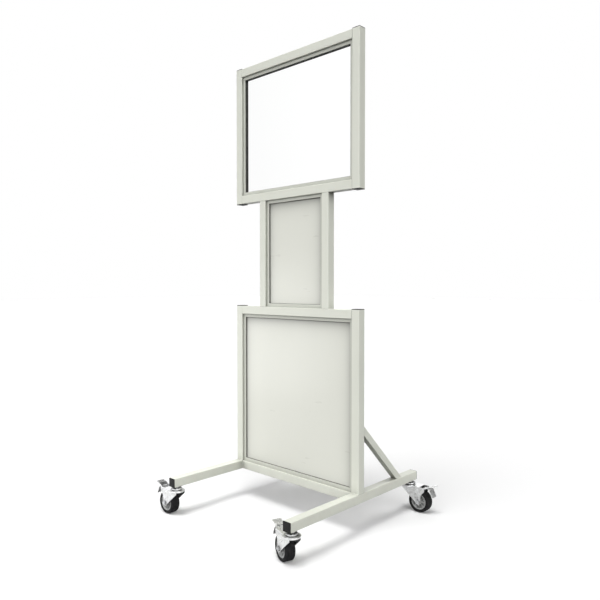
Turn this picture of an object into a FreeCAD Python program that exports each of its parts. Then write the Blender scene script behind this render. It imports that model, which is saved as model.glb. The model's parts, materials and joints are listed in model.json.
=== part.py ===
"""Rolling board: three welded square-tube frames stacked on two long feet with braked swivel casters.

The top frame is as wide as the base and holds a clear pane.  A narrower middle frame and the wide
lower frame hold opaque boards.  Units are millimetres.  X runs along the board, Y from the front
to the back, Z up.  The origin is on the floor under the middle of the board.
"""
import FreeCAD, Part
import math
import os

V = FreeCAD.Vector
X_AXIS = V(1, 0, 0)
Y_AXIS = V(0, 1, 0)
Z_AXIS = V(0, 0, 1)

# ---- driving dimensions of the frame -------------------------------------------------------
TUBE = 40.0                  # square tube of the frames and feet, outside
TUBE_WALL = 2.0
TUBE_CORNER = 2.5            # outside corner radius of the tube
FRAME_WIDTH = 780.0          # over the outer posts
MIDDLE_WIDTH = 440.0         # over the posts of the narrow middle frame
FOOT_LENGTH = 870.0          # over the end caps
FOOT_BOTTOM = 138.0          # overall height of a caster
LOWER_FRAME_HEIGHT = 825.0   # underside of the base rail to the top of the lower posts
MIDDLE_HEIGHT = 512.0        # clear height between the lower and the upper frame
UPPER_FRAME_HEIGHT = 670.0
BRACE_TUBE = 30.0
BRACE_REACH = 270.0          # from the post's back, and from the foot's top, to the brace's axis

# ---- boards, pane and the channels that hold them ------------------------------------------
CHANNEL_WIDTH = 16.0         # how far a channel stands in from its tube
CHANNEL_DEPTH = 21.0         # front to back, centred on the tube
CHANNEL_EDGE = 1.2           # chamfer on the channel's inner front and back edges
GROOVE_DEPTH = 11.0
BOARD_THICKNESS = 6.0
PANE_THICKNESS = 4.0
GROOVE_PLAY = 0.4            # total play of a board across its groove
BOARD_INSERT = 9.0           # how far a board reaches into the groove

# ---- end caps -------------------------------------------------------------------------------
CAP_RIM = 3.0
CAP_EDGE = 1.2
CAP_PLUG_DEPTH = 12.0
CAP_PLUG_PLAY = 0.2
CAP_PLUG_WALL = 2.0

# ---- casters: local frame with +X to the trailing side, Y along the axle, Z = 0 at the foot --
SWIVEL_INSET = 28.0          # swivel axis from the foot's end
TRAIL = 57.0                 # swivel axis to axle
WHEEL_RADIUS = 52.0
TYRE_WIDTH = 42.0
TYRE_THICKNESS = 15.0
TYRE_SHOULDER = 5.0
TREAD_GROOVES = (-10.5, 0.0, 10.5)
TREAD_GROOVE_WIDTH = 1.6
TREAD_GROOVE_DEPTH = 1.5
HUB_HALF_WIDTH = 23.0
HUB_BOSS_RADIUS = 13.0
HUB_RIM_HALF_WIDTH = 19.0
HUB_RIM_THICKNESS = 5.0
HUB_WEB = 5.0
HUB_RIBS = 8
HUB_RIB_WIDTH = 3.0
SLEEVE_RADIUS = 7.0
RUNNING_CLEARANCE = 0.05
AXLE_RADIUS = 5.0
AXLE_HEX = 17.0              # across flats
AXLE_HEAD = 6.4
FORK_PLATE = 3.0
FORK_GAP_HALF = 23.5         # inside face of a fork leg from the wheel's middle plane
CROWN_RADIUS = 37.0
CROWN_TOP = -17.0
CROWN_LIP = 6.0
CROWN_EDGE = 2.0
LEG_LEAD_X = -28.0           # front edge of a leg under the crown
LEG_TRAIL_X = 88.0           # rear edge of a leg under the crown
LEG_LEAD_DEPTH = 14.0        # how far a leg's straight front and rear edges run down
LEG_TRAIL_DEPTH = 18.0
LEG_BEND = (74.0, -54.0)     # a point on the curved rear edge
LEG_END_RADIUS = 14.0
BRIDGE_END_X = 62.0          # the crown's flat top runs back to here between the legs
CUP_RADIUS = 24.0
CUP_INSIDE = 21.8
CUP_RIM_BOTTOM = -14.5
CUP_INNER_TOP = -10.9
COLLAR_RADIUS = 14.0
COLLAR_BOTTOM = -5.0
STEM_RADIUS = 6.0
STEM_HOLE_PLAY = 0.25
STEM_TOP = 18.0
NUT_HEX = 19.0
NUT_HEIGHT = 8.0
NUT_FLANGE_RADIUS = 12.5
NUT_FLANGE_HEIGHT = 2.0
LOWER_RACE_RADIUS = 12.0
LOWER_RACE_THICKNESS = 3.0
LOWER_RACE_GAP = 0.5
RIVET_RADIUS = 9.0
RIVET_HEIGHT = 3.0
BALL_RADIUS = 2.8
BALL_CIRCLE = 18.0
BALL_COUNT = 14
BALL_GAP = 0.1
SHOE_THICKNESS = 9.0
SHOE_HOLE_RADIUS = 13.5
SHOE_HALF_WIDTH = 16.0
SHOE_REACH = 62.0
SHOE_CLEARANCE = 0.4         # to the legs and to the crown's lip
PEDAL_HALF_WIDTH = 19.5
PEDAL_SHEET = 3.0
PEDAL_PIVOT = (77.0, -27.0)  # X and Z of the pedal's hinge in the caster's frame
PEDAL_PIN_RADIUS = 3.0
PEDAL_PIN_PROUD = 1.5        # how far the hinge pin stands out of the legs
PEDAL_BOSS_RADIUS = 5.0
PEDAL_ARM = [(77.0, -24.0), (96.0, -18.0), (114.0, -9.0)]
PEDAL_LIP = [(114.0, -9.0), (136.0, -3.8)]
PEDAL_STEP = [(104.0, -15.0), (113.0, -25.0), (121.0, -40.0), (127.0, -56.0)]
PEDAL_WINDOW = (92.0, 100.0)  # X of the slot through the arm
PEDAL_WINDOW_HALF = 12.0

# The side a caster's foot end is on, front or back, and the way its wheel trails, in degrees from +X.
CASTERS = {
    "front_left": (-1, -1, 180.0),
    "front_right": (1, -1, 160.5),
    "rear_left": (-1, 1, 348.0),
    "rear_right": (1, 1, 2.5),
}

# ---- heights and places that follow ---------------------------------------------------------
HALF_TUBE = TUBE / 2
FOOT_TOP = FOOT_BOTTOM + TUBE
POST_X = FRAME_WIDTH / 2 - HALF_TUBE
MIDDLE_POST_X = MIDDLE_WIDTH / 2 - HALF_TUBE
INNER_WIDTH = FRAME_WIDTH - 2 * TUBE
LOWER_TOP = FOOT_BOTTOM + LOWER_FRAME_HEIGHT
UPPER_BOTTOM = LOWER_TOP + MIDDLE_HEIGHT
UPPER_TOP = UPPER_BOTTOM + UPPER_FRAME_HEIGHT
SWIVEL_Y = FOOT_LENGTH / 2 - SWIVEL_INSET
AXLE_Z = WHEEL_RADIUS - FOOT_BOTTOM
CROWN_BOTTOM = CROWN_TOP - FORK_PLATE
HUB_RADIUS = WHEEL_RADIUS - TYRE_THICKNESS


def box(x0, x1, y0, y1, z0, z1):
    """A box between two corners."""
    return Part.makeBox(x1 - x0, y1 - y0, z1 - z0, V(x0, y0, z0))


def cylinder(radius, low, high, x=0.0, y=0.0):
    """An upright cylinder between two heights."""
    return Part.makeCylinder(radius, high - low, V(x, y, low), Z_AXIS)


def cross_cylinder(radius, half_length, x, z):
    """A cylinder along Y, centred on Y = 0."""
    return Part.makeCylinder(radius, 2 * half_length, V(x, -half_length, z), Y_AXIS)


def face_of(points):
    """A flat face through a closed run of points."""
    return Part.Face(Part.makePolygon(points + [points[0]]))


def hex_prism(across_flats, height, base, direction):
    """A hexagonal prism standing on base along direction (Y or Z)."""
    corner_radius = across_flats / math.sqrt(3)
    side = X_AXIS
    other = direction.cross(side)
    points = []
    for k in range(6):
        turn = math.radians(60 * k)
        points.append(base + side * (corner_radius * math.cos(turn)) + other * (corner_radius * math.sin(turn)))
    return face_of(points).extrude(direction * height)


def edges_along(shape, direction):
    """The straight edges of a shape that run along direction."""
    found = []
    for edge in shape.Edges:
        along = edge.Vertexes[-1].Point - edge.Vertexes[0].Point
        if along.Length > 0.1 and abs(along.normalize().dot(direction)) > 0.999:
            found.append(edge)
    return found


def square_tube(size, wall, corner, centre, direction, length):
    """A hollow square tube whose axis starts at centre."""
    tube = Part.makeBox(size, size, length, V(-size / 2, -size / 2, 0))
    tube = tube.makeFillet(corner, edges_along(tube, Z_AXIS))
    inside = size - 2 * wall
    hollow = Part.makeBox(inside, inside, length, V(-inside / 2, -inside / 2, 0))
    tube = tube.cut(hollow)
    tube.Placement = FreeCAD.Placement(centre, FreeCAD.Rotation(Z_AXIS, direction))
    return tube


def frame_tube(centre, direction, length):
    return square_tube(TUBE, TUBE_WALL, TUBE_CORNER, centre, direction, length)


# ---- frame tubes ----------------------------------------------------------------------------
def foot(side):
    """A long foot, with the holes for its two caster stems in the lower wall."""
    tube_length = FOOT_LENGTH - 2 * CAP_RIM
    tube = frame_tube(V(side * POST_X, -tube_length / 2, FOOT_BOTTOM + HALF_TUBE), Y_AXIS, tube_length)
    for end in (-1, 1):
        hole = cylinder(
            STEM_RADIUS + STEM_HOLE_PLAY,
            FOOT_BOTTOM - 1,
            FOOT_BOTTOM + TUBE_WALL + 1,
            side * POST_X,
            end * SWIVEL_Y,
        )
        tube = tube.cut(hole)
    return tube


def post(x, low, high):
    return frame_tube(V(x, 0, low), Z_AXIS, high - low)


def rail(top):
    """A rail between the outer posts or feet, with its top at the given height."""
    return frame_tube(V(-INNER_WIDTH / 2, 0, top - HALF_TUBE), X_AXIS, INNER_WIDTH)


def brace(side):
    """A 45 degree strut in the plane of the foot, cut to sit on the post's back and the foot's top."""
    centre_y = HALF_TUBE + BRACE_REACH / 2
    centre_z = FOOT_TOP + BRACE_REACH / 2
    down = V(0, 1, -1).normalize()
    length = BRACE_REACH * math.sqrt(2) + 2 * BRACE_TUBE
    start = V(side * POST_X, centre_y, centre_z) - down * (length / 2)
    tube = square_tube(BRACE_TUBE, TUBE_WALL, TUBE_CORNER, start, down, length)
    reach = BRACE_REACH + 2 * TUBE
    middle = side * POST_X
    keep = box(
        middle - TUBE, middle + TUBE, HALF_TUBE, HALF_TUBE + reach, FOOT_TOP, FOOT_TOP + reach
    )
    return tube.common(keep)


# ---- boards and channels --------------------------------------------------------------------
def channel(length, thickness):
    """A grooved length along Z, with its back on X = 0 and its groove open towards +X."""
    half = CHANNEL_DEPTH / 2
    groove = (thickness + GROOVE_PLAY) / 2
    floor_x = CHANNEL_WIDTH - GROOVE_DEPTH
    outline = [
        V(0, -half, 0),
        V(CHANNEL_WIDTH - CHANNEL_EDGE, -half, 0),
        V(CHANNEL_WIDTH, -half + CHANNEL_EDGE, 0),
        V(CHANNEL_WIDTH, -groove, 0),
        V(floor_x, -groove, 0),
        V(floor_x, groove, 0),
        V(CHANNEL_WIDTH, groove, 0),
        V(CHANNEL_WIDTH, half - CHANNEL_EDGE, 0),
        V(CHANNEL_WIDTH - CHANNEL_EDGE, half, 0),
        V(0, half, 0),
    ]
    return face_of(outline).extrude(V(0, 0, length))


def mitred_channel(length, thickness):
    """A channel with both ends cut at 45 degrees, so that it is shorter on its open side."""
    bar = channel(length, thickness)
    half = CHANNEL_DEPTH
    reach = CHANNEL_WIDTH + 1
    low = [V(0, -half, 0), V(reach, -half, 0), V(reach, -half, reach)]
    high = [V(0, -half, length), V(reach, -half, length), V(reach, -half, length - reach)]
    for corner in (low, high):
        bar = bar.cut(face_of(corner).extrude(V(0, 2 * half, 0)))
    return bar


def channels(name, half_width, low, high, thickness):
    """The four mitred channels of one frame's opening, by node name."""
    upright = mitred_channel(high - low, thickness)
    level = mitred_channel(2 * half_width, thickness)
    turn_right = FreeCAD.Rotation(Z_AXIS, 180)
    lay_up = FreeCAD.Rotation(Y_AXIS, -90)
    lay_down = FreeCAD.Rotation(Y_AXIS, 90)
    pieces = {
        "left": (upright, V(-half_width, 0, low), FreeCAD.Rotation()),
        "right": (upright, V(half_width, 0, low), turn_right),
        "bottom": (level, V(half_width, 0, low), lay_up),
        "top": (level, V(-half_width, 0, high), lay_down),
    }
    nodes = {}
    for where, (bar, place, turn) in pieces.items():
        copy = bar.copy()
        copy.Placement = FreeCAD.Placement(place, turn)
        nodes[f"{name}_channel_{where}"] = copy
    return nodes


def board(half_width, low, high, thickness):
    """A flat board that reaches into the channels on all four sides."""
    inset = CHANNEL_WIDTH - BOARD_INSERT
    half = thickness / 2
    return box(-half_width + inset, half_width - inset, -half, half, low + inset, high - inset)


# ---- end caps -------------------------------------------------------------------------------
def end_cap(place, outward):
    """A square tube plug: a rounded rim over the tube's end and a hollow plug inside it."""
    rim = Part.makeBox(TUBE, TUBE, CAP_RIM, V(-HALF_TUBE, -HALF_TUBE, 0))
    rim = rim.makeFillet(TUBE_CORNER, edges_along(rim, Z_AXIS))
    top_edges = [e for e in rim.Edges if min(v.Z for v in e.Vertexes) > CAP_RIM - 0.01]
    rim = rim.makeFillet(CAP_EDGE, top_edges)
    plug_half = HALF_TUBE - TUBE_WALL - CAP_PLUG_PLAY
    inner_half = plug_half - CAP_PLUG_WALL
    plug = box(-plug_half, plug_half, -plug_half, plug_half, -CAP_PLUG_DEPTH, 0)
    pocket = box(-inner_half, inner_half, -inner_half, inner_half, -CAP_PLUG_DEPTH, 0)
    cap = rim.fuse(plug.cut(pocket)).removeSplitter()
    cap.Placement = FreeCAD.Placement(place, FreeCAD.Rotation(Z_AXIS, outward))
    return cap


def all_end_caps():
    caps = []
    tube_half = FOOT_LENGTH / 2 - CAP_RIM
    for side in (-1, 1):
        x = side * POST_X
        caps.append(end_cap(V(x, 0, UPPER_TOP), Z_AXIS))
        caps.append(end_cap(V(x, 0, UPPER_BOTTOM), -Z_AXIS))
        caps.append(end_cap(V(x, 0, LOWER_TOP), Z_AXIS))
        for end in (-1, 1):
            caps.append(end_cap(V(x, end * tube_half, FOOT_BOTTOM + HALF_TUBE), Y_AXIS * end))
    return Part.makeCompound(caps)


# ---- caster pieces, in the caster's own frame -------------------------------------------------
def revolve_profile(points, axis_point, axis):
    return face_of(points).revolve(axis_point, axis, 360)


def stem():
    """The threaded stem with its collar, ball cup, king pin, lower race and riveted end."""
    race_top = CROWN_BOTTOM - LOWER_RACE_GAP
    race_bottom = race_top - LOWER_RACE_THICKNESS
    rivet_bottom = race_bottom - RIVET_HEIGHT
    outline = [
        V(0, 0, STEM_TOP),
        V(STEM_RADIUS - 1, 0, STEM_TOP),
        V(STEM_RADIUS, 0, STEM_TOP - 1),
        V(STEM_RADIUS, 0, 0),
        V(COLLAR_RADIUS, 0, 0),
        V(COLLAR_RADIUS, 0, COLLAR_BOTTOM),
        V(CUP_RADIUS - 2, 0, COLLAR_BOTTOM - 2),
        V(CUP_RADIUS, 0, COLLAR_BOTTOM - 4),
        V(CUP_RADIUS, 0, CUP_RIM_BOTTOM),
        V(CUP_INSIDE, 0, CUP_RIM_BOTTOM),
        V(CUP_INSIDE, 0, CUP_INNER_TOP),
        V(STEM_RADIUS, 0, CUP_INNER_TOP),
        V(STEM_RADIUS, 0, race_top),
        V(LOWER_RACE_RADIUS, 0, race_top),
        V(LOWER_RACE_RADIUS, 0, race_bottom),
        V(RIVET_RADIUS, 0, race_bottom),
        V(RIVET_RADIUS - 1.5, 0, rivet_bottom),
        V(0, 0, rivet_bottom),
    ]
    return revolve_profile(outline, V(0, 0, 0), Z_AXIS)


def stem_nut():
    """The flanged nut that clamps the stem inside the foot."""
    low = TUBE_WALL
    nut = hex_prism(NUT_HEX, NUT_HEIGHT, V(0, 0, low), Z_AXIS)
    flange = cylinder(NUT_FLANGE_RADIUS, low, low + NUT_FLANGE_HEIGHT)
    bore = cylinder(STEM_RADIUS, low - 1, low + NUT_HEIGHT + 1)
    return nut.fuse(flange).cut(bore).removeSplitter()


def bearing_balls():
    """The ring of loose balls between the cup and the fork's crown."""
    balls = []
    height = CROWN_TOP + BALL_RADIUS + BALL_GAP
    for k in range(BALL_COUNT):
        turn = 2 * math.pi * k / BALL_COUNT
        centre = V(BALL_CIRCLE * math.cos(turn), BALL_CIRCLE * math.sin(turn), height)
        balls.append(Part.makeSphere(BALL_RADIUS, centre))
    return balls


def leg_outline(y):
    """One fork leg as a flat wire: wide under the crown, narrow and round at the axle."""
    lead_top = V(LEG_LEAD_X, y, CROWN_TOP)
    lead_low = V(LEG_LEAD_X, y, CROWN_TOP - LEG_LEAD_DEPTH)
    trail_top = V(LEG_TRAIL_X, y, CROWN_TOP)
    trail_low = V(LEG_TRAIL_X, y, CROWN_TOP - LEG_TRAIL_DEPTH)
    bend = V(LEG_BEND[0], y, LEG_BEND[1])
    centre = V(TRAIL, y, AXLE_Z)

    def on_end(angle):
        turn = math.radians(angle)
        return centre + V(LEG_END_RADIUS * math.cos(turn), 0, LEG_END_RADIUS * math.sin(turn))

    edges = [
        Part.LineSegment(lead_top, trail_top).toShape(),
        Part.LineSegment(trail_top, trail_low).toShape(),
        Part.Arc(trail_low, bend, on_end(20)).toShape(),
        Part.Arc(on_end(20), on_end(290), on_end(200)).toShape(),
        Part.LineSegment(on_end(200), lead_low).toShape(),
        Part.LineSegment(lead_low, lead_top).toShape(),
    ]
    return Part.Wire(edges)


def fork():
    """The pressed fork: a round crown, two legs and the holes for king pin, axle and pedal pin."""
    outer = FORK_GAP_HALF + FORK_PLATE
    lip_bottom = CROWN_TOP - CROWN_LIP
    crown = cylinder(CROWN_RADIUS, lip_bottom, CROWN_TOP)
    rim = [e for e in crown.Edges if e.BoundBox.ZMin > CROWN_TOP - 0.01]
    crown = crown.makeFillet(CROWN_EDGE, rim)
    crown = crown.cut(cylinder(CROWN_RADIUS - FORK_PLATE, lip_bottom - 1, CROWN_BOTTOM))
    shape = crown.fuse(box(0, BRIDGE_END_X, -outer, outer, CROWN_BOTTOM, CROWN_TOP))
    for low_y in (-outer, FORK_GAP_HALF):
        leg = Part.Face(leg_outline(low_y)).extrude(V(0, FORK_PLATE, 0))
        shape = shape.fuse(leg)
    trailing_lip = box(0, CROWN_RADIUS + 1, -FORK_GAP_HALF, FORK_GAP_HALF, lip_bottom - 1, CROWN_BOTTOM)
    shape = shape.cut(trailing_lip)
    shape = shape.cut(cylinder(STEM_RADIUS + RUNNING_CLEARANCE, CROWN_BOTTOM - 1, CROWN_TOP + 1))
    shape = shape.cut(cross_cylinder(AXLE_RADIUS, outer + 1, TRAIL, AXLE_Z))
    shape = shape.cut(cross_cylinder(PEDAL_PIN_RADIUS, outer + 1, PEDAL_PIVOT[0], PEDAL_PIVOT[1]))
    return shape.removeSplitter()


def axle_set():
    """The axle bolt, its nut and the sleeve that the wheel turns on."""
    outer = FORK_GAP_HALF + FORK_PLATE
    centre = V(TRAIL, 0, AXLE_Z)
    shank = cross_cylinder(AXLE_RADIUS, outer, TRAIL, AXLE_Z)
    tail = Part.makeCylinder(AXLE_RADIUS, AXLE_HEAD + 2, centre + V(0, outer, 0), Y_AXIS)
    head = hex_prism(AXLE_HEX, AXLE_HEAD, centre - V(0, outer + AXLE_HEAD, 0), Y_AXIS)
    bolt = shank.fuse(tail).fuse(head).removeSplitter()
    nut = hex_prism(AXLE_HEX, AXLE_HEAD, centre + V(0, outer, 0), Y_AXIS)
    nut = nut.cut(Part.makeCylinder(AXLE_RADIUS, AXLE_HEAD + 2, centre + V(0, outer - 1, 0), Y_AXIS))
    sleeve = cross_cylinder(SLEEVE_RADIUS, FORK_GAP_HALF, TRAIL, AXLE_Z)
    sleeve = sleeve.cut(cross_cylinder(AXLE_RADIUS, FORK_GAP_HALF + 1, TRAIL, AXLE_Z))
    return Part.makeCompound([bolt, nut, sleeve])


def wheel_hub():
    """The wheel's centre: boss, ribbed web and rim, bored to turn on the sleeve."""
    bore = SLEEVE_RADIUS + RUNNING_CLEARANCE
    rim_inside = HUB_RADIUS - HUB_RIM_THICKNESS
    half_web = HUB_WEB / 2
    half_outline = [
        (bore, HUB_HALF_WIDTH),
        (HUB_BOSS_RADIUS, HUB_HALF_WIDTH),
        (HUB_BOSS_RADIUS + 1.5, half_web),
        (rim_inside - 1.5, half_web),
        (rim_inside, HUB_RIM_HALF_WIDTH),
        (HUB_RADIUS, HUB_RIM_HALF_WIDTH),
    ]
    points = [V(TRAIL, y, AXLE_Z + r) for r, y in half_outline]
    points += [V(TRAIL, -y, AXLE_Z + r) for r, y in reversed(half_outline)]
    axle_point = V(TRAIL, 0, AXLE_Z)
    hub = revolve_profile(points, axle_point, Y_AXIS)
    rib_low = HUB_BOSS_RADIUS - 0.5
    rib_high = rim_inside + 0.5
    half_rib = HUB_RIB_WIDTH / 2
    rib_side = HUB_RIM_HALF_WIDTH - 3
    for k in range(HUB_RIBS):
        rib = box(TRAIL - half_rib, TRAIL + half_rib, -rib_side, rib_side, AXLE_Z + rib_low, AXLE_Z + rib_high)
        rib.rotate(axle_point, Y_AXIS, 360.0 * k / HUB_RIBS)
        hub = hub.fuse(rib)
    return hub.removeSplitter()


def tyre():
    """The rubber tyre: round shoulders and grooves round the tread."""
    half = TYRE_WIDTH / 2
    shoulder = half - TYRE_SHOULDER
    low = AXLE_Z + HUB_RADIUS
    high = AXLE_Z + WHEEL_RADIUS
    centre_low = high - TYRE_SHOULDER
    bend = TYRE_SHOULDER * math.sqrt(0.5)
    seat = HUB_RIM_HALF_WIDTH
    edges = [
        Part.LineSegment(V(TRAIL, -seat, low), V(TRAIL, seat, low)).toShape(),
        Part.LineSegment(V(TRAIL, seat, low), V(TRAIL, half, low + 2)).toShape(),
        Part.LineSegment(V(TRAIL, half, low + 2), V(TRAIL, half, centre_low)).toShape(),
        Part.Arc(
            V(TRAIL, half, centre_low),
            V(TRAIL, shoulder + bend, centre_low + bend),
            V(TRAIL, shoulder, high),
        ).toShape(),
        Part.LineSegment(V(TRAIL, shoulder, high), V(TRAIL, -shoulder, high)).toShape(),
        Part.Arc(
            V(TRAIL, -shoulder, high),
            V(TRAIL, -shoulder - bend, centre_low + bend),
            V(TRAIL, -half, centre_low),
        ).toShape(),
        Part.LineSegment(V(TRAIL, -half, centre_low), V(TRAIL, -half, low + 2)).toShape(),
        Part.LineSegment(V(TRAIL, -half, low + 2), V(TRAIL, -seat, low)).toShape(),
    ]
    axle_point = V(TRAIL, 0, AXLE_Z)
    ring = Part.Face(Part.Wire(edges)).revolve(axle_point, Y_AXIS, 360)
    half_groove = TREAD_GROOVE_WIDTH / 2
    for y in TREAD_GROOVES:
        start = V(TRAIL, y - half_groove, AXLE_Z)
        outer = Part.makeCylinder(WHEEL_RADIUS + 1, TREAD_GROOVE_WIDTH, start, Y_AXIS)
        inner = Part.makeCylinder(WHEEL_RADIUS - TREAD_GROOVE_DEPTH, TREAD_GROOVE_WIDTH, start, Y_AXIS)
        ring = ring.cut(outer.cut(inner))
    return ring


def brake_shoe():
    """The lock plate under the crown, round the king pin, with the tongue that presses on the tyre."""
    low = CROWN_BOTTOM - SHOE_THICKNESS
    half_gap = FORK_GAP_HALF - SHOE_CLEARANCE
    radius = CROWN_RADIUS - FORK_PLATE - SHOE_CLEARANCE
    disc = cylinder(radius, low, CROWN_BOTTOM)
    between_legs = box(-radius, radius, -half_gap, half_gap, low, CROWN_BOTTOM)
    before_legs = box(-radius, LEG_LEAD_X - SHOE_CLEARANCE, -radius, radius, low, CROWN_BOTTOM)
    plate = disc.common(between_legs.fuse(before_legs))
    tongue = box(0, SHOE_REACH, -SHOE_HALF_WIDTH, SHOE_HALF_WIDTH, low, CROWN_BOTTOM)
    hole = cylinder(SHOE_HOLE_RADIUS, low - 1, CROWN_BOTTOM + 1)
    return plate.fuse(tongue).cut(hole).removeSplitter()


def sheet_between(points, half_width, thickness):
    """A bent sheet that follows a run of X, Z points, with round bends."""
    parts = []
    radius = thickness / 2
    for (x0, z0), (x1, z1) in zip(points, points[1:]):
        length = math.hypot(x1 - x0, z1 - z0)
        across_x = -(z1 - z0) / length * radius
        across_z = (x1 - x0) / length * radius
        corners = [
            V(x0 + across_x, -half_width, z0 + across_z),
            V(x1 + across_x, -half_width, z1 + across_z),
            V(x1 - across_x, -half_width, z1 - across_z),
            V(x0 - across_x, -half_width, z0 - across_z),
        ]
        parts.append(face_of(corners).extrude(V(0, 2 * half_width, 0)))
        parts.append(cross_cylinder(radius, half_width, x1, z1))
    x0, z0 = points[0]
    parts.append(cross_cylinder(radius, half_width, x0, z0))
    shape = parts[0]
    for piece in parts[1:]:
        shape = shape.fuse(piece)
    return shape.removeSplitter()


def brake_pedal():
    """The pedal: boss and hinge pin, an arm behind the wheel, a flat lip and a down-curved step."""
    pivot_x, pivot_z = PEDAL_PIVOT
    shape = cross_cylinder(PEDAL_BOSS_RADIUS, PEDAL_HALF_WIDTH, pivot_x, pivot_z)
    for run in (PEDAL_ARM, PEDAL_LIP, PEDAL_STEP):
        shape = shape.fuse(sheet_between(run, PEDAL_HALF_WIDTH, PEDAL_SHEET))
    pin_half = FORK_GAP_HALF + FORK_PLATE + PEDAL_PIN_PROUD
    shape = shape.fuse(cross_cylinder(PEDAL_PIN_RADIUS - RUNNING_CLEARANCE, pin_half, pivot_x, pivot_z))
    low_x, high_x = PEDAL_WINDOW
    half = PEDAL_WINDOW_HALF
    return shape.cut(box(low_x, high_x, -half, half, pivot_z, 0)).removeSplitter()


def placed(shape, side, end, trail_angle):
    """A caster piece turned to its trailing direction and moved under its foot's end."""
    copy = shape.copy()
    copy.rotate(V(0, 0, 0), Z_AXIS, trail_angle)
    copy.translate(V(side * POST_X, end * SWIVEL_Y, FOOT_BOTTOM))
    return copy


def build_nodes():
    """Every node's shape, by name."""
    nodes = {
        "foot_left": foot(-1),
        "foot_right": foot(1),
        "brace_left": brace(-1),
        "brace_right": brace(1),
        "base_rail": rail(FOOT_TOP),
        "lower_post_left": post(-POST_X, FOOT_TOP, LOWER_TOP),
        "lower_post_right": post(POST_X, FOOT_TOP, LOWER_TOP),
        "lower_top_rail": rail(LOWER_TOP),
        "middle_post_left": post(-MIDDLE_POST_X, LOWER_TOP, UPPER_BOTTOM),
        "middle_post_right": post(MIDDLE_POST_X, LOWER_TOP, UPPER_BOTTOM),
        "upper_bottom_rail": rail(UPPER_BOTTOM + TUBE),
        "upper_post_left": post(-POST_X, UPPER_BOTTOM, UPPER_TOP),
        "upper_post_right": post(POST_X, UPPER_BOTTOM, UPPER_TOP),
        "upper_top_rail": rail(UPPER_TOP),
        "tube_end_caps": all_end_caps(),
    }
    wide = INNER_WIDTH / 2
    narrow = MIDDLE_WIDTH / 2 - TUBE
    openings = {
        "lower": (wide, FOOT_TOP, LOWER_TOP - TUBE, BOARD_THICKNESS),
        "middle": (narrow, LOWER_TOP, UPPER_BOTTOM, BOARD_THICKNESS),
        "upper": (wide, UPPER_BOTTOM + TUBE, UPPER_TOP - TUBE, PANE_THICKNESS),
    }
    for name, opening in openings.items():
        nodes.update(channels(name, *opening))
    nodes["lower_board"] = board(*openings["lower"])
    nodes["middle_board"] = board(*openings["middle"])
    nodes["upper_pane"] = board(*openings["upper"])

    caster_pieces = {
        "stem": stem(),
        "fork": fork(),
        "brake_shoe": brake_shoe(),
        "brake_pedal": brake_pedal(),
        "axle_set": axle_set(),
        "wheel_hub": wheel_hub(),
        "tyre": tyre(),
    }
    nuts = []
    balls = []
    for caster, spot in CASTERS.items():
        for piece, shape in caster_pieces.items():
            nodes[f"{caster}_{piece}"] = placed(shape, *spot)
        nuts.append(placed(stem_nut(), *spot))
        balls += [placed(ball, *spot) for ball in bearing_balls()]
    nodes["stem_nuts"] = Part.makeCompound(nuts)
    nodes["swivel_balls"] = Part.makeCompound(balls)
    return nodes


def main():
    os.makedirs("parts", exist_ok=True)
    for name, shape in build_nodes().items():
        if not shape.isValid():
            raise ValueError(f"{name} is not a valid shape")
        shape.exportStep(f"parts/{name}.step")


main()
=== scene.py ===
"""Rolling board with a clear upper pane, on braced feet with braked swivel casters.

Everything is in metres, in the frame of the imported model: X along the board, Y to the back, Z up.
"""
import json
import math

import bmesh
import bpy
from mathutils import Matrix, Vector


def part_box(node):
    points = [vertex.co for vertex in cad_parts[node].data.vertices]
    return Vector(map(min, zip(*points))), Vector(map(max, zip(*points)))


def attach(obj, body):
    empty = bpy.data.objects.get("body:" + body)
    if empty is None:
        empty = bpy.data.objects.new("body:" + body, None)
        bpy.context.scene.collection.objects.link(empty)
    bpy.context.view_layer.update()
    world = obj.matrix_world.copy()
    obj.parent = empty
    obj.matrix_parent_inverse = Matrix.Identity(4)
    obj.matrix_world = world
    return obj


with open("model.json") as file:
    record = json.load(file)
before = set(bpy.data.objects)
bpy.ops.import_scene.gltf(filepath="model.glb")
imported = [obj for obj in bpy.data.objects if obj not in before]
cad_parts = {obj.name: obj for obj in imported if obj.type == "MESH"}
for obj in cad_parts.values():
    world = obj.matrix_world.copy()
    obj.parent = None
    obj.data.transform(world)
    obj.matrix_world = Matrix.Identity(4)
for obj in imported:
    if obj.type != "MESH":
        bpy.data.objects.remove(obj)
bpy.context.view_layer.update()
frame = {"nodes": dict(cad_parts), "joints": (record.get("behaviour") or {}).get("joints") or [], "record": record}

nodes = frame["nodes"]
scene = bpy.context.scene
slot_of = {s["node"]: s["material_slot"] for s in frame["record"]["subparts"]}
joint_at = {j["name"]: j for j in frame["joints"]}
CASTERS = ("front_left", "front_right", "rear_left", "rear_right")


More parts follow.
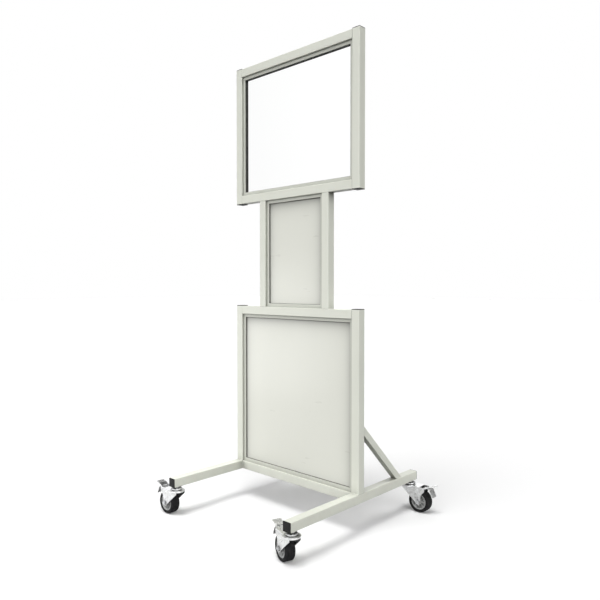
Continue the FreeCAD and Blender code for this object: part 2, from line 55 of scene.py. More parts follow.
# ---- node materials ---------------------------------------------------------------------------
class Material:
    """A node material under construction; every pattern is in object space, in metres."""

    def __init__(self, name, colour, roughness, metallic=0.0):
        self.material = bpy.data.materials.new(name)
        self.material.use_nodes = True
        self.nodes = self.material.node_tree.nodes
        self.links = self.material.node_tree.links
        self.nodes.clear()
        self.output = self.add("ShaderNodeOutputMaterial")
        self.shader = self.add("ShaderNodeBsdfPrincipled")
        self.link(self.shader.outputs["BSDF"], self.output.inputs["Surface"])
        self.shader.inputs["Base Color"].default_value = (*colour, 1.0)
        self.shader.inputs["Roughness"].default_value = roughness
        self.shader.inputs["Metallic"].default_value = metallic
        self.place = self.add("ShaderNodeTexCoord").outputs["Object"]
        self.colour = None
        self.roughness = None
        self.normal = None

    def add(self, kind, **settings):
        node = self.nodes.new(kind)
        for key, value in settings.items():
            setattr(node, key, value)
        return node

    def link(self, source, target):
        self.links.new(source, target)

    def scaled(self, factors):
        mapping = self.add("ShaderNodeMapping")
        mapping.inputs["Scale"].default_value = factors
        self.link(self.place, mapping.inputs["Vector"])
        return mapping.outputs["Vector"]

    def noise(self, scale, detail, roughness=0.5, stretch=(1, 1, 1)):
        node = self.add("ShaderNodeTexNoise")
        node.inputs["Scale"].default_value = scale
        node.inputs["Detail"].default_value = detail
        node.inputs["Roughness"].default_value = roughness
        self.link(self.scaled(stretch), node.inputs["Vector"])
        return node.outputs["Fac"]

    def cells(self, scale):
        node = self.add("ShaderNodeTexVoronoi")
        node.inputs["Scale"].default_value = scale
        self.link(self.place, node.inputs["Vector"])
        return node.outputs["Color"]

    def span(self, value, low, high, to_low, to_high):
        node = self.add("ShaderNodeMapRange")
        node.inputs["From Min"].default_value = low
        node.inputs["From Max"].default_value = high
        node.inputs["To Min"].default_value = to_low
        node.inputs["To Max"].default_value = to_high
        self.link(value, node.inputs["Value"])
        return node.outputs["Result"]

    def calculate(self, operation, a, b):
        node = self.add("ShaderNodeMath", operation=operation)
        for socket, value in zip(node.inputs, (a, b)):
            if isinstance(value, (int, float)):
                socket.default_value = value
            else:
                self.link(value, socket)
        return node.outputs["Value"]

    def blend(self, factor, a, b):
        """A colour that goes from a to b as factor goes from 0 to 1."""
        node = self.add("ShaderNodeMix", data_type="RGBA")
        self.link(factor, node.inputs["Factor"])
        for socket, value in ((node.inputs[6], a), (node.inputs[7], b)):
            if isinstance(value, tuple):
                socket.default_value = (*value, 1.0)
            else:
                self.link(value, socket)
        return node.outputs[2]

    def edge(self, radius):
        """A mask that is 1 along the sharp edges of a piece and 0 on its faces."""
        bevel = self.add("ShaderNodeBevel", samples=4)
        bevel.inputs["Radius"].default_value = radius
        plain = self.add("ShaderNodeNewGeometry")
        dot = self.add("ShaderNodeVectorMath", operation="DOT_PRODUCT")
        self.link(bevel.outputs["Normal"], dot.inputs[0])
        self.link(plain.outputs["Normal"], dot.inputs[1])
        bend = self.calculate("SUBTRACT", 1.0, dot.outputs["Value"])
        return self.span(bend, 0.02, 0.25, 0.0, 1.0)

    def crease(self, reach):
        """A mask that is 1 in the open and falls towards 0 in corners and slots."""
        shelter = self.add("ShaderNodeAmbientOcclusion", samples=8)
        shelter.inputs["Distance"].default_value = reach
        return shelter.outputs["AO"]

    def with_painted_shade(self, base, reach, share):
        """Base in the open, and painted shade deep in corners and slots: a share of base, a little warmer."""
        shade = self.blend(self.crease(reach), (share, share, share * 0.98), (1.0, 1.0, 1.0))
        node = self.add("ShaderNodeMix", data_type="RGBA", blend_type="MULTIPLY")
        node.inputs["Factor"].default_value = 1.0
        self.link(base, node.inputs[6])
        self.link(shade, node.inputs[7])
        return node.outputs[2]

    def height(self):
        parts = self.add("ShaderNodeSeparateXYZ")
        self.link(self.place, parts.inputs["Vector"])
        return parts.outputs["Z"]

    def bump(self, value, strength, distance):
        node = self.add("ShaderNodeBump")
        node.inputs["Strength"].default_value = strength
        node.inputs["Distance"].default_value = distance
        self.link(value, node.inputs["Height"])
        if self.normal is not None:
            self.link(self.normal, node.inputs["Normal"])
        self.normal = node.outputs["Normal"]

    def soften(self, radius):
        """Rounds the shading of sharp edges."""
        bevel = self.add("ShaderNodeBevel", samples=4)
        bevel.inputs["Radius"].default_value = radius
        self.normal = bevel.outputs["Normal"]

    def done(self):
        if self.colour is not None:
            self.link(self.colour, self.shader.inputs["Base Color"])
        if self.roughness is not None:
            self.link(self.roughness, self.shader.inputs["Roughness"])
        if self.normal is not None:
            self.link(self.normal, self.shader.inputs["Normal"])
        return self.material


def tone(colour, factor):
    return tuple(min(1.0, c * factor) for c in colour)


def powder_coat(name, colour, roughness):
    """Baked powder: orange-peel ripple, faint cloudiness, scuffs, dust near the floor, painted shade in corners.
    """
    m = Material(name, colour, roughness)
    m.soften(0.0008)
    cloud = m.span(m.noise(2.3, 4.0), 0.3, 0.7, 0.0, 1.0)
    base = m.blend(cloud, tone(colour, 0.975), tone(colour, 1.02))
    speck = m.span(m.noise(900.0, 2.0), 0.63, 0.72, 0.0, 0.35)
    base = m.blend(speck, base, tone(colour, 0.82))
    scuff = m.calculate(
        "MULTIPLY",
        m.edge(0.0012),
        m.span(m.noise(60.0, 5.0, 0.65), 0.5, 0.62, 0.0, 0.55),
    )
    base = m.blend(scuff, base, tone(colour, 0.66))
    dust = m.calculate(
        "MULTIPLY",
        m.span(m.height(), 0.13, 0.30, 0.16, 0.0),
        m.span(m.noise(14.0, 5.0), 0.35, 0.7, 0.2, 1.0),
    )
    # Painted shade in corners and slots, over the dust and scuffs.
    m.colour = m.with_painted_shade(m.blend(dust, base, (0.42, 0.40, 0.35)), 0.05, 0.25)
    m.roughness = m.span(m.noise(11.0, 4.0), 0.3, 0.7, roughness - 0.05, roughness + 0.07)
    m.bump(m.noise(420.0, 2.0, 0.45), 0.16, 0.0006)
    m.shader.inputs["Specular IOR Level"].default_value = 0.45
    return m.done()


def field_opening(field):
    """The lower left and upper right corners of what shows between one field's channels."""
    low = Vector((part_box(f"{field}_channel_left")[1].x, 0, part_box(f"{field}_channel_bottom")[1].z))
    high = Vector((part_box(f"{field}_channel_right")[0].x, 0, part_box(f"{field}_channel_top")[0].z))
    return low, high


# A board darkens towards its channels, which stands in for the wide soft shade that lies there:
# the depth of the fade in metres, and the share of its colour that a board loses at each edge.
EDGE_FADE = 0.021
SIDE_LOSS = 0.36
BOTTOM_LOSS = 0.16
TOP_LOSS = 0.60


def coated_sheet(name, colour, low, high):
    """Smooth coated writing surface: very fine grain, wiped streaks, faint ghosting, painted shade at its edges.
    """
    m = Material(name, colour, 0.32)
    ghost = m.span(m.noise(5.0, 4.0, 0.5, (1.0, 1.0, 0.45)), 0.35, 0.75, 0.0, 0.5)
    base = m.blend(ghost, colour, tone(colour, 0.965))
    parts = m.add("ShaderNodeSeparateXYZ")
    m.link(m.place, parts.inputs["Vector"])
    kept = 1.0
    # Painted shade along each edge, by the channels.
    for axis, edge, inward, loss in (
        ("X", low.x, 1, SIDE_LOSS),
        ("X", high.x, -1, SIDE_LOSS),
        ("Z", low.z, 1, BOTTOM_LOSS),
        ("Z", high.z, -1, TOP_LOSS),
    ):
        inset = m.calculate("SUBTRACT", parts.outputs[axis], edge)
        fade = m.calculate("EXPONENT", m.calculate("MULTIPLY", inset, -inward / EDGE_FADE), 0.0)
        lost = m.calculate("MULTIPLY", fade, loss)
        kept = m.calculate("MULTIPLY", m.calculate("SUBTRACT", 1.0, lost), kept)
    m.colour = m.blend(kept, (0.0, 0.0, 0.0), base)
    m.roughness = m.span(m.noise(9.0, 4.0, 0.55, (0.5, 1.0, 3.0)), 0.3, 0.7, 0.27, 0.40)
    m.bump(m.noise(260.0, 2.0), 0.05, 0.0004)
    m.bump(m.noise(3.1, 0.0), 0.02, 0.004)
    m.shader.inputs["Coat Weight"].default_value = 0.25
    m.shader.inputs["Coat Roughness"].default_value = 0.18
    return m.done()


def zinc(name, colour, roughness, worn=0.0):
    """Bright zinc plate: soft crystal patches, dull haze, dirt near the floor, edges lighter from wear and a
    painted highlight, painted shade in corners, rounded edges.
    """
    m = Material(name, colour, roughness, metallic=1.0)
    m.soften(0.0007)
    patch = m.add("ShaderNodeSeparateColor")
    m.link(m.cells(130.0), patch.inputs["Color"])
    base = m.blend(patch.outputs["Red"], tone(colour, 0.93), tone(colour, 1.04))
    haze = m.span(m.noise(45.0, 5.0, 0.6), 0.45, 0.72, 0.0, 0.5)
    base = m.blend(haze, base, (0.60, 0.60, 0.57))
    dirt = m.calculate(
        "MULTIPLY",
        m.span(m.noise(90.0, 4.0), 0.5, 0.75, 0.0, 0.7),
        m.span(m.height(), 0.03, 0.12, 1.0, 0.25),
    )
    base = m.blend(dirt, base, (0.34, 0.33, 0.31))
    # Edges lighter from wear and from a painted highlight, then painted shade in corners and slots.
    worn_edge_and_highlight = m.calculate("MULTIPLY", m.edge(0.0009), 0.35 + worn)
    m.colour = m.with_painted_shade(m.blend(worn_edge_and_highlight, base, (0.86, 0.86, 0.86)), 0.012, 0.15)
    m.roughness = m.span(m.noise(70.0, 4.0, 0.6), 0.3, 0.75, roughness - 0.06, roughness + 0.13)
    m.bump(m.noise(700.0, 3.0), 0.07, 0.0004)
    return m.done()


def tyre_rubber():
    """Black rubber: fine mould grain, floor dust held on the tread and in its pores."""
    m = Material("tyre_rubber", (0.018, 0.018, 0.019), 0.78)
    dust = m.span(m.noise(75.0, 6.0, 0.62), 0.48, 0.78, 0.0, 0.42)
    base = m.blend(dust, (0.012, 0.012, 0.013), (0.055, 0.053, 0.049))
    fleck = m.span(m.noise(900.0, 2.0), 0.66, 0.74, 0.0, 0.5)
    m.colour = m.blend(fleck, base, (0.12, 0.115, 0.10))
    m.roughness = m.span(m.noise(50.0, 3.0), 0.3, 0.7, 0.66, 0.9)
    m.bump(m.noise(1100.0, 3.0), 0.35, 0.0004)
    m.shader.inputs["Specular IOR Level"].default_value = 0.18
    return m.done()


def moulded(name, colour, roughness):
    """Injection moulded plastic: spark-eroded grain, faint flow marks, polished edges with a painted highlight."""
    m = Material(name, colour, roughness)
    m.soften(0.0006)
    flow = m.span(m.noise(22.0, 3.0, 0.5, (1.0, 1.0, 2.5)), 0.35, 0.65, 0.0, 1.0)
    base = m.blend(flow, tone(colour, 0.9), tone(colour, 1.12))
    # Painted highlight along the polished edges.
    polished_edge_highlight = m.calculate("MULTIPLY", m.edge(0.0008), 0.4)
    m.colour = m.blend(polished_edge_highlight, base, tone(colour, 1.7))
    m.roughness = m.span(m.noise(30.0, 4.0), 0.3, 0.7, roughness - 0.08, roughness + 0.08)
    m.bump(m.noise(1400.0, 2.0), 0.25, 0.0003)
    m.shader.inputs["Specular IOR Level"].default_value = 0.2
    return m.done()


def polished_steel():
    """Bearing balls: bright steel under a thin film of grease."""
    m = Material("ball_steel", (0.55, 0.54, 0.52), 0.22, metallic=1.0)
    film = m.span(m.noise(160.0, 4.0), 0.4, 0.65, 0.0, 1.0)
    m.colour = m.blend(film, (0.58, 0.57, 0.55), (0.30, 0.26, 0.20))
    m.roughness = m.span(m.noise(200.0, 3.0), 0.3, 0.7, 0.12, 0.4)
    return m.done()


def clear_sheet():
    """Clear pane: light goes straight through it, and its faces mirror at a glancing angle."""
    m = Material("clear_pane", (0.95, 0.98, 0.97), 0.03)
    clear = m.add("ShaderNodeBsdfTransparent")
    clear.inputs["Color"].default_value = (0.997, 0.999, 0.998, 1.0)
    gloss = m.add("ShaderNodeBsdfGlossy")
    smear = m.span(m.noise(6.0, 5.0, 0.6, (1.0, 1.0, 0.4)), 0.4, 0.7, 0.015, 0.09)
    m.link(smear, gloss.inputs["Roughness"])
    facing = m.add("ShaderNodeLayerWeight")
    facing.inputs["Blend"].default_value = 0.5
    steep = m.calculate("POWER", facing.outputs["Facing"], 5.0)
    mix = m.add("ShaderNodeMixShader")
    m.link(m.span(steep, 0.0, 1.0, 0.02, 0.9), mix.inputs["Fac"])
    m.link(clear.outputs["BSDF"], mix.inputs[1])
    m.link(gloss.outputs["BSDF"], mix.inputs[2])
    m.link(mix.outputs["Shader"], m.output.inputs["Surface"])
    m.nodes.remove(m.shader)
    return m.material


OFF_WHITE = (0.72, 0.735, 0.655)
MATERIALS = {
    "frame_powder_coat": powder_coat("frame_powder_coat", OFF_WHITE, 0.42),
    "channel_powder_coat": powder_coat("channel_powder_coat", tone(OFF_WHITE, 0.84), 0.45),
    "clear_pane": clear_sheet(),
    "black_plastic": moulded("black_plastic", (0.009, 0.009, 0.009), 0.55),
    "zinc_plate": zinc("zinc_plate", (0.74, 0.745, 0.75), 0.30),
    "zinc_pedal": zinc("zinc_pedal", (0.78, 0.785, 0.785), 0.28, worn=0.3),
    "axle_zinc": zinc("axle_zinc", (0.62, 0.63, 0.65), 0.27, worn=0.2),
    "ball_steel": polished_steel(),
    "lock_plastic": moulded("lock_plastic", (0.014, 0.014, 0.014), 0.55),
    "hub_plastic": moulded("hub_plastic", (0.46, 0.465, 0.46), 0.48),
    "tyre_rubber": tyre_rubber(),
}
# Dark strips shaped as gaskets: painted shade in the channels' reveals, which lie in shade.
SHADE_GASKETS = {
    "lower": moulded("lower_board_shade_gasket", (0.16, 0.16, 0.145), 0.62),
    "middle": moulded("inner_board_shade_gasket", (0.16, 0.16, 0.145), 0.62),
    "upper": moulded("pane_shade_gasket", (0.07, 0.07, 0.065), 0.62),
}

BOARD_WHITE = (0.737, 0.744, 0.674)
SHEETS = {}
for field in ("lower", "middle"):
    SHEETS[f"{field}_board"] = coated_sheet(f"{field}_board", BOARD_WHITE, *field_opening(field))

for name, obj in nodes.items():
    obj.data.materials.clear()
    obj.data.materials.append(SHEETS[name] if name in SHEETS else MATERIALS[slot_of[name]])


# ---- added pieces -----------------------------------------------------------------------------
def piece_from(bm, name, material, body):
    """Turns bm into a piece that rides on a body and has a material slot."""
    mesh = bpy.data.meshes.new(name)
    bmesh.ops.recalc_face_normals(bm, faces=bm.faces)
    bm.to_mesh(mesh)
    bm.free()
    obj = bpy.data.objects.new(name, mesh)
    scene.collection.objects.link(obj)
    mesh.materials.append(material)
    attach(obj, body)
    return obj


def skin(bm, loops, closed=False, smooth=True):
    """Faces between each loop of vertices and the next; closed joins the last loop to the first."""
    following = loops[1:] + loops[:1] if closed else loops[1:]
    count = len(loops[0])
    for a, b in zip(loops, following):
        for k in range(count):
            n = (k + 1) % count
            bm.faces.new((a[k], a[n], b[n], b[k])).smooth = smooth


def round_loop(bm, centre, across, up, radius, sides):
    """A round loop of vertices in the plane of across and up."""
    turns = (2 * math.pi * k / sides for k in range(sides))
    return [bm.verts.new(centre + (across * math.cos(a) + up * math.sin(a)) * radius) for a in turns]


def ring(bm, centre, axis, big, small, steps=64, sides=10):
    """A round ring: big is the radius of its line and small of its wire; axis is 1 for Y, 2 for Z."""
    rows = []
    for k in range(steps):
        turn = 2 * math.pi * k / steps
        row = []
        for n in range(sides):
            tilt = 2 * math.pi * n / sides
            out = big + small * math.cos(tilt)
            along = small * math.sin(tilt)
            if axis == 1:
                offset = Vector((out * math.cos(turn), along, out * math.sin(turn)))
            else:
                offset = Vector((out * math.cos(turn), out * math.sin(turn), along))
            row.append(bm.verts.new(centre + offset))
        rows.append(row)
    skin(bm, rows, closed=True)


def rounded(points, rounds=2):
    """Corner cutting, which turns a polygon into a smooth outline."""
    for _ in range(rounds):
        cut = []
        for p, q in zip(points, points[1:] + points[:1]):
            cut.append(tuple(0.75 * a + 0.25 * b for a, b in zip(p, q)))
            cut.append(tuple(0.25 * a + 0.75 * b for a, b in zip(p, q)))
        points = cut
    return points


def raised_panel(bm, outline, to_point, height, shoulder):
    """A low panel with a sloping shoulder; to_point puts (u, v, height) in place."""
    u0 = sum(u for u, _ in outline) / len(outline)
    v0 = sum(v for _, v in outline) / len(outline)
    loops = []
    for inset, rise in ((0.0, 0.0), (shoulder * 0.35, height * 0.7), (shoulder, height)):
        loop = []
        for u, v in outline:
            away = math.hypot(u - u0, v - v0)
            keep = 1.0 - inset / away
            loop.append(bm.verts.new(to_point(u0 + (u - u0) * keep, v0 + (v - v0) * keep, rise)))
        loops.append(loop)
    skin(bm, loops)
    bm.faces.new(loops[-1])


# ---- dark gaskets between each sheet and its channels: painted shade in the reveals -----------
def ring_strip(name, low, high, profile, material):
    """A mitred strip round the inside of an opening; profile is (inset from the opening, Y) points."""
    bm = bmesh.new()
    loops = []
    for inset, y in profile:
        corners = (
            (low.x + inset, low.z + inset),
            (high.x - inset, low.z + inset),
            (high.x - inset, high.z - inset),
            (low.x + inset, high.z - inset),
        )
        loops.append([bm.verts.new((x, y, z)) for x, z in corners])
    skin(bm, loops, closed=True, smooth=False)
    return piece_from(bm, name, material, "frame")


GASKET_OUT = 0.0012          # how far a gasket shows past its channel
GASKET_TUCK = 0.0004         # how far it reaches under the channel's edge
GASKET_SETBACK = 0.0013      # how far its front lies behind the channel's
GASKET_FOOT = 0.0008         # how much wider it is where it lies on the sheet
GASKET_FOOT_HEIGHT = 0.0012
GASKET_NOSE = 0.0006         # how much narrower it is at its front
GASKET_NOSE_HEIGHT = 0.0008

for field, sheet in (("lower", "lower_board"), ("middle", "middle_board"), ("upper", "upper_pane")):
    low, high = field_opening(field)
    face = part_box(sheet)[1].y
    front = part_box(f"{field}_channel_left")[1].y - GASKET_SETBACK
    for word, facing in (("front", -1), ("back", 1)):
        profile = [
            (-GASKET_TUCK, facing * face),
            (GASKET_OUT + GASKET_FOOT, facing * face),
            (GASKET_OUT, facing * (face + GASKET_FOOT_HEIGHT)),
            (GASKET_OUT, facing * (front - GASKET_NOSE_HEIGHT)),
            (GASKET_OUT - GASKET_NOSE, facing * front),
            (-GASKET_TUCK, facing * front),
        ]
        ring_strip(f"{field}_shade_gasket_{word}", low, high, profile, SHADE_GASKETS[field])


# ---- weld beads -------------------------------------------------------------------------------
WELD_RADIUS = 0.0024
WELD_SIDES = 10
WELD_STEP = 0.0011           # the length of one step along a bead
SINK = 0.0006                # how far a bead's line lies inside the edge that it follows
END_GAP = 0.004              # how far a bead stops short of a corner
BRACE_CUT = 0.0424           # the length of a brace's slanted end, a 30 mm tube cut at 45 degrees

back_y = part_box("lower_post_left")[1].y
foot_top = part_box("lower_post_left")[0].z


def weld(name, start, end, seed):
    """A weld bead from start to end: overlapping ripples of slightly uneven width, under the paint."""
    along = end - start
    steps = max(10, int(along.length / WELD_STEP))
    direction = along.normalized()
    across = direction.orthogonal().normalized()
    up = direction.cross(across)
    bm = bmesh.new()
    rows = []
    for k in range(steps + 1):
        t = k / steps
        ripple = abs(math.sin(math.pi * k / 4 + seed))
        drift = 0.08 * math.sin(7.0 * t + 1.7 * seed)
        taper = min(1.0, 6.0 * t + 0.35, 6.0 * (1 - t) + 0.35)
        radius = WELD_RADIUS * taper * (0.86 + 0.2 * ripple + drift)
        rows.append(round_loop(bm, start + along * t, across, up, radius, WELD_SIDES))
    skin(bm, rows)
    bm.faces.new(rows[0])
    bm.faces.new(rows[-1])
    return piece_from(bm, name, MATERIALS["frame_powder_coat"], "frame")


def post_welds(side):
    """Beads across the foot of a lower post, and up the seam between foot and base rail."""
    low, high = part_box(f"lower_post_{side}")
    rail_low, rail_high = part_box("base_rail")
    seam_x = {"left": high.x, "right": low.x}[side]
    for word, y in (("front", low.y + SINK), ("back", high.y - SINK)):
        weld(
            f"weld_post_{side}_{word}",
            Vector((low.x + END_GAP, y, foot_top)),
            Vector((high.x - END_GAP, y, foot_top)),
            len(word),
        )
        weld(
            f"weld_base_{side}_{word}",
            Vector((seam_x, y, rail_low.z + END_GAP)),
            Vector((seam_x, y, rail_high.z - END_GAP)),
            len(side) + 2,
        )


def brace_welds(side):
    """Four beads round each end of a brace, on the back of the post and on the top of the foot."""
    low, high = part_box(f"brace_{side}")

    def on_post(x, run):
        return Vector((x, back_y, run))

    def on_foot(x, run):
        return Vector((x, run, foot_top))

    for end_name, place, last in (("post", on_post, high.z), ("foot", on_foot, high.y)):
        first = last - BRACE_CUT
        for word, x in (("inner", low.x + SINK), ("outer", high.x - SINK)):
            name = f"weld_brace_{side}_{end_name}_{word}"
            seed = len(word) + len(end_name)
            weld(name, place(x, first + END_GAP), place(x, last - END_GAP), seed)
        for word, run in (("low", first + SINK), ("high", last - SINK)):
            name = f"weld_brace_{side}_{end_name}_{word}"
            weld(name, place(low.x + END_GAP, run), place(high.x - END_GAP, run), len(word) + 3)


def middle_welds(side):
    """Beads at the bottom and top of a middle post, on its outer side."""
    low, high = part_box(f"middle_post_{side}")
    x = {"left": low.x + SINK, "right": high.x - SINK}[side]
    for word, z in (("low", low.z), ("high", high.z)):
        weld(
            f"weld_middle_{side}_{word}",
            Vector((x, low.y + END_GAP, z)),
            Vector((x, high.y - END_GAP, z)),
            len(word) + 5,
        )


for side in ("left", "right"):
    post_welds(side)
    brace_welds(side)
    middle_welds(side)


# ---- caster details, in each caster's own frame: X to the trailing side, Z = 0 under the foot ----
FOOT_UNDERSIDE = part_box("foot_left")[0].z
AXLE = Vector((0.057, 0, -0.086))
CROWN_TOP = -0.017
CROWN_RING = 0.0295, 0.0011  # the radius of the ring's line and of its wire
BOSS_RING = 0.0116, 0.0006
LEG_OUTSIDE = 0.0265
LEG_PANEL = [
    (-0.016, -0.023),
    (0.056, -0.023),
    (0.064, -0.042),
    (0.063, -0.062),
    (0.059, -0.070),
    (0.051, -0.066),
    (0.026, -0.044),
    (-0.004, -0.031),
]
LEG_PANEL_HEIGHT = 0.0012
LEG_PANEL_SHOULDER = 0.0022
# Rings round the axle on both sides of the wheel: distance from its middle, radius, wire, steps.
TYRE_RINGS = ((0.0210, 0.0448, 0.0006, 96), (0.0209, 0.0415, 0.0004, 96))
HUB_RINGS = ((0.0190, 0.0346, 0.0007, 80), (0.0230, 0.0105, 0.0005, 48))
RING_SIDES = 8

TREAD_START = Vector((0.114, 0, -0.009))
TREAD_END = Vector((0.136, 0, -0.0038))
TREAD_COUNT = 4
TREAD_STEPS = 16
TREAD_HALF = 0.015
TREAD_RADIUS = 0.0007
TREAD_LIFT = 0.0014


def caster_frame(caster):
    """The transform from a caster's own frame to the row's frame."""
    swivel = Vector(joint_at[f"{caster}_swivel"]["pos_m"])
    axle = Vector(joint_at[f"{caster}_roll"]["pos_m"])
    axis = Vector(joint_at[f"{caster}_roll"]["axis"])
    trail = Vector((axle.x - swivel.x, axle.y - swivel.y, 0)).normalized()
    turn = Matrix((trail, axis, Vector((0, 0, 1)))).transposed().to_4x4()
    return Matrix.Translation((swivel.x, swivel.y, FOOT_UNDERSIDE)) @ turn


def caster_piece(caster, word, body, material, fill):
    """A piece that fill makes in a caster's own frame, on one of that caster's bodies."""
    bm = bmesh.new()
    fill(bm)
    bm.transform(caster_frame(caster))
    return piece_from(bm, f"{caster}_{word}", MATERIALS[material], f"{caster}_{body}")


def crown_pressing(bm):
    """A ring pressed in the fork's crown, and a panel and a boss ring on each leg."""
    ring(bm, Vector((0, 0, CROWN_TOP)), 2, *CROWN_RING)
    for y in (-1, 1):

        def on_leg(u, v, rise, y=y):
            return Vector((u, y * (LEG_OUTSIDE + rise), v))

        raised_panel(bm, rounded(LEG_PANEL), on_leg, LEG_PANEL_HEIGHT, LEG_PANEL_SHOULDER)
        ring(bm, Vector((AXLE.x, y * LEG_OUTSIDE, AXLE.z)), 1, *BOSS_RING, 48, RING_SIDES)


def wheel_rings(bm, rings):
    for y in (-1, 1):
        for away, radius, wire, steps in rings:
            ring(bm, Vector((AXLE.x, y * away, AXLE.z)), 1, radius, wire, steps, RING_SIDES)


def tyre_mouldings(bm):
    wheel_rings(bm, TYRE_RINGS)


def hub_mouldings(bm):
    wheel_rings(bm, HUB_RINGS)


def pedal_treads(bm):
    """Raised ribs across the pedal's lip, where a shoe presses or lifts it."""
    run = TREAD_END - TREAD_START
    along = run.normalized()
    up = Vector((-along.z, 0, along.x))
    for k in range(TREAD_COUNT):
        centre = TREAD_START + run * (0.2 + 0.22 * k) + up * TREAD_LIFT
        rows = []
        for step in range(TREAD_STEPS + 1):
            y = -TREAD_HALF + 2 * TREAD_HALF * step / TREAD_STEPS
            radius = TREAD_RADIUS * min(1.0, 1.0 - abs(2 * step / TREAD_STEPS - 1) ** 6 + 0.3)
            rows.append(round_loop(bm, centre + Vector((0, y, 0)), along, up, radius, RING_SIDES))
        skin(bm, rows)
        bm.faces.new(rows[0])
        bm.faces.new(rows[-1])


for caster in CASTERS:
    caster_piece(caster, "fork_pressing", "swivel", "zinc_plate", crown_pressing)
    caster_piece(caster, "tyre_beads", "wheel", "tyre_rubber", tyre_mouldings)
    caster_piece(caster, "hub_beads", "wheel", "hub_plastic", hub_mouldings)
    caster_piece(caster, "pedal_treads", "pedal", "zinc_pedal", pedal_treads)


# ---- raised pads on the end caps of the feet --------------------------------------------------
CAP_HEAD = 0.003             # how far a cap stands out of its tube
PAD_HALF = 0.012
PAD_HEIGHT = 0.0007
PAD_SHOULDER = 0.0012
CAP_PAD = [(-PAD_HALF, -PAD_HALF), (PAD_HALF, -PAD_HALF), (PAD_HALF, PAD_HALF), (-PAD_HALF, PAD_HALF)]

for side in ("left", "right"):
    foot_low, foot_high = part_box(f"foot_{side}")
    x = (foot_low.x + foot_high.x) / 2
    z = (foot_low.z + foot_high.z) / 2
    for word, end in (("front", -1), ("rear", 1)):
        face_y = end * (foot_high.y + CAP_HEAD)

        def on_cap(u, v, rise, x=x, z=z, face_y=face_y, end=end):
            return Vector((x + u, face_y + end * rise, z + v))

        bm = bmesh.new()
        raised_panel(bm, rounded(CAP_PAD), on_cap, PAD_HEIGHT, PAD_SHOULDER)
        piece_from(bm, f"cap_pad_{word}_{side}", MATERIALS["black_plastic"], "frame")


# ---- stage: floor, light and camera -----------------------------------------------------------
FLOOR_HALF = 40.0
FLOOR_CORNERS = [(x * FLOOR_HALF, y * FLOOR_HALF, 0) for x, y in ((-1, -1), (1, -1), (1, 1), (-1, 1))]
floor_mesh = bpy.data.meshes.new("floor")
floor_mesh.from_pydata(FLOOR_CORNERS, [], [(0, 1, 2, 3)])
floor = bpy.data.objects.new("floor", floor_mesh)
scene.collection.objects.link(floor)
floor_material = Material("floor", (0.9, 0.9, 0.9), 0.9)
floor_material.shader.inputs["Specular IOR Level"].default_value = 0.0
floor_mesh.materials.append(floor_material.done())
# The floor takes shadows but sends no light back up, so that undersides stay dark.
floor.visible_diffuse = False

# Glowing panels of the room: azimuth and elevation of the middle and angle to the rim, in degrees,
# then brightness.  The front of the object faces azimuth -90.
ROOM_PANELS = (
    (-100.0, 15.0, 44.0, 3.0),
    (-20.0, 15.0, 44.0, 1.1),
    (0.0, 10.0, 34.0, 3.5),
    (135.0, 10.0, 34.0, 2.0),
    (90.0, 10.0, 34.0, 0.8),
)
PANEL_CORE = 6.0             # degrees round a panel's middle that glow at full strength
ROOM_AMBIENT = 0.05          # the glow of the room between its panels
HORIZON_FADE = 0.05          # how far above level, as a sine, the glow reaches full strength

SUN_SPREAD = 26.0
KEY_STRENGTH = 1.0
KEY_TOWARDS = (0.0, 0.309, -0.951)
OVERHEAD_STRENGTH = 0.96
OVERHEAD_TOWARDS = (-0.104, 0.180, -0.978)

SIDE_LAMP_PLACE = (-1.5, -1.2, 0.7)
SIDE_LAMP_TOWARDS = (1.3, 1.2, -0.1)
SIDE_LAMP_ENERGY = 7.0
SIDE_LAMP_SIZE = 1.0

CAMERA_PLACE = (1.9368, -2.0292, 1.0673)
CAMERA_TURN = 43.20          # degrees to the left of looking along Y
CAMERA_TILT = 1.42           # degrees below level
CAMERA_LENS = 36.05
CAMERA_SENSOR = 36.0


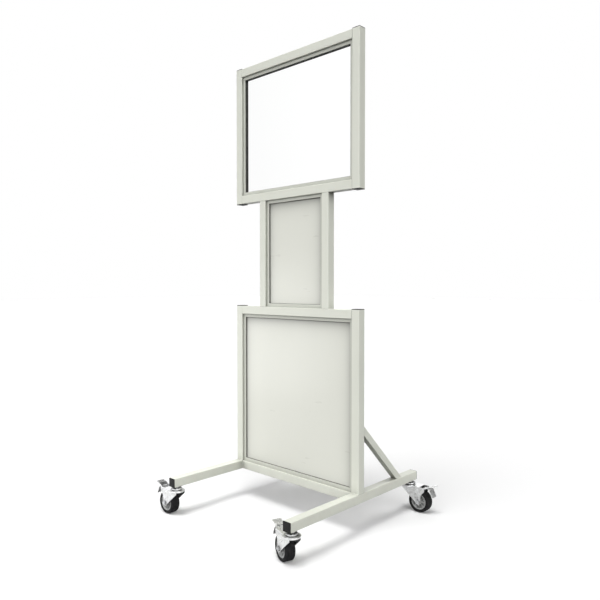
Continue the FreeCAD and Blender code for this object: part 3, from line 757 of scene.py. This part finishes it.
def studio_world():
    """White to the camera; to the object, a dim room with soft glowing panels above floor level."""
    world = bpy.data.worlds.new("studio")
    world.use_nodes = True
    tree = world.node_tree
    tree.nodes.clear()
    link = tree.links.new

    def add(kind, **inputs):
        node = tree.nodes.new(kind)
        for key, value in inputs.items():
            node.inputs[key].default_value = value
        return node

    def combined(operation, a, b):
        node = add("ShaderNodeMath")
        node.operation = operation
        for socket, value in zip(node.inputs, (a, b)):
            if isinstance(value, float):
                socket.default_value = value
            else:
                link(value, socket)
        return node.outputs["Value"]

    direction = add("ShaderNodeTexCoord").outputs["Generated"]
    glow = ROOM_AMBIENT
    for azimuth, elevation, reach, level in ROOM_PANELS:
        across, up = math.radians(azimuth), math.radians(elevation)
        towards = add("ShaderNodeVectorMath")
        towards.operation = "DOT_PRODUCT"
        towards.inputs[1].default_value = (
            math.cos(across) * math.cos(up),
            math.sin(across) * math.cos(up),
            math.sin(up),
        )
        link(direction, towards.inputs[0])
        limits = {
            "From Min": math.cos(math.radians(reach)),
            "From Max": math.cos(math.radians(PANEL_CORE)),
            "To Max": level,
        }
        panel = add("ShaderNodeMapRange", **limits)
        panel.interpolation_type = "SMOOTHSTEP"
        link(towards.outputs["Value"], panel.inputs["Value"])
        glow = combined("ADD", panel.outputs["Result"], glow)
    split = add("ShaderNodeSeparateXYZ")
    link(direction, split.inputs["Vector"])
    above = add("ShaderNodeMapRange", **{"From Max": HORIZON_FADE})
    link(split.outputs["Z"], above.inputs["Value"])
    room = add("ShaderNodeBackground", Color=(1, 1, 1, 1))
    link(combined("MULTIPLY", above.outputs["Result"], glow), room.inputs["Strength"])
    white = add("ShaderNodeBackground", Color=(1, 1, 1, 1), Strength=1.0)
    seen = add("ShaderNodeLightPath")
    choose = add("ShaderNodeMixShader")
    link(seen.outputs["Is Camera Ray"], choose.inputs["Fac"])
    link(room.outputs["Background"], choose.inputs[1])
    link(white.outputs["Background"], choose.inputs[2])
    output = add("ShaderNodeOutputWorld")
    link(choose.outputs["Shader"], output.inputs["Surface"])
    return world


def lamp(name, kind, energy, towards):
    """A light of the given kind, turned to shine along towards."""
    data = bpy.data.lights.new(name, kind)
    data.energy = energy
    obj = bpy.data.objects.new(name, data)
    scene.collection.objects.link(obj)
    obj.rotation_euler = Vector(towards).to_track_quat("-Z", "Y").to_euler()
    return obj


scene.world = studio_world()
for sun in (
    lamp("key", "SUN", KEY_STRENGTH, KEY_TOWARDS),
    lamp("overhead", "SUN", OVERHEAD_STRENGTH, OVERHEAD_TOWARDS),
):
    sun.data.angle = math.radians(SUN_SPREAD)
side_lamp = lamp("side", "AREA", SIDE_LAMP_ENERGY, SIDE_LAMP_TOWARDS)
side_lamp.data.size = SIDE_LAMP_SIZE
side_lamp.location = SIDE_LAMP_PLACE
side_lamp.visible_camera = False

camera_data = bpy.data.cameras.new("camera")
camera_data.sensor_width = CAMERA_SENSOR
camera_data.lens = CAMERA_LENS
camera_data.clip_start = 0.05
camera_data.clip_end = 200.0
camera = bpy.data.objects.new("camera", camera_data)
scene.collection.objects.link(camera)
camera.location = CAMERA_PLACE
camera.rotation_euler = (math.radians(90 - CAMERA_TILT), 0, math.radians(CAMERA_TURN))
scene.camera = camera
scene.view_settings.view_transform = "Standard"
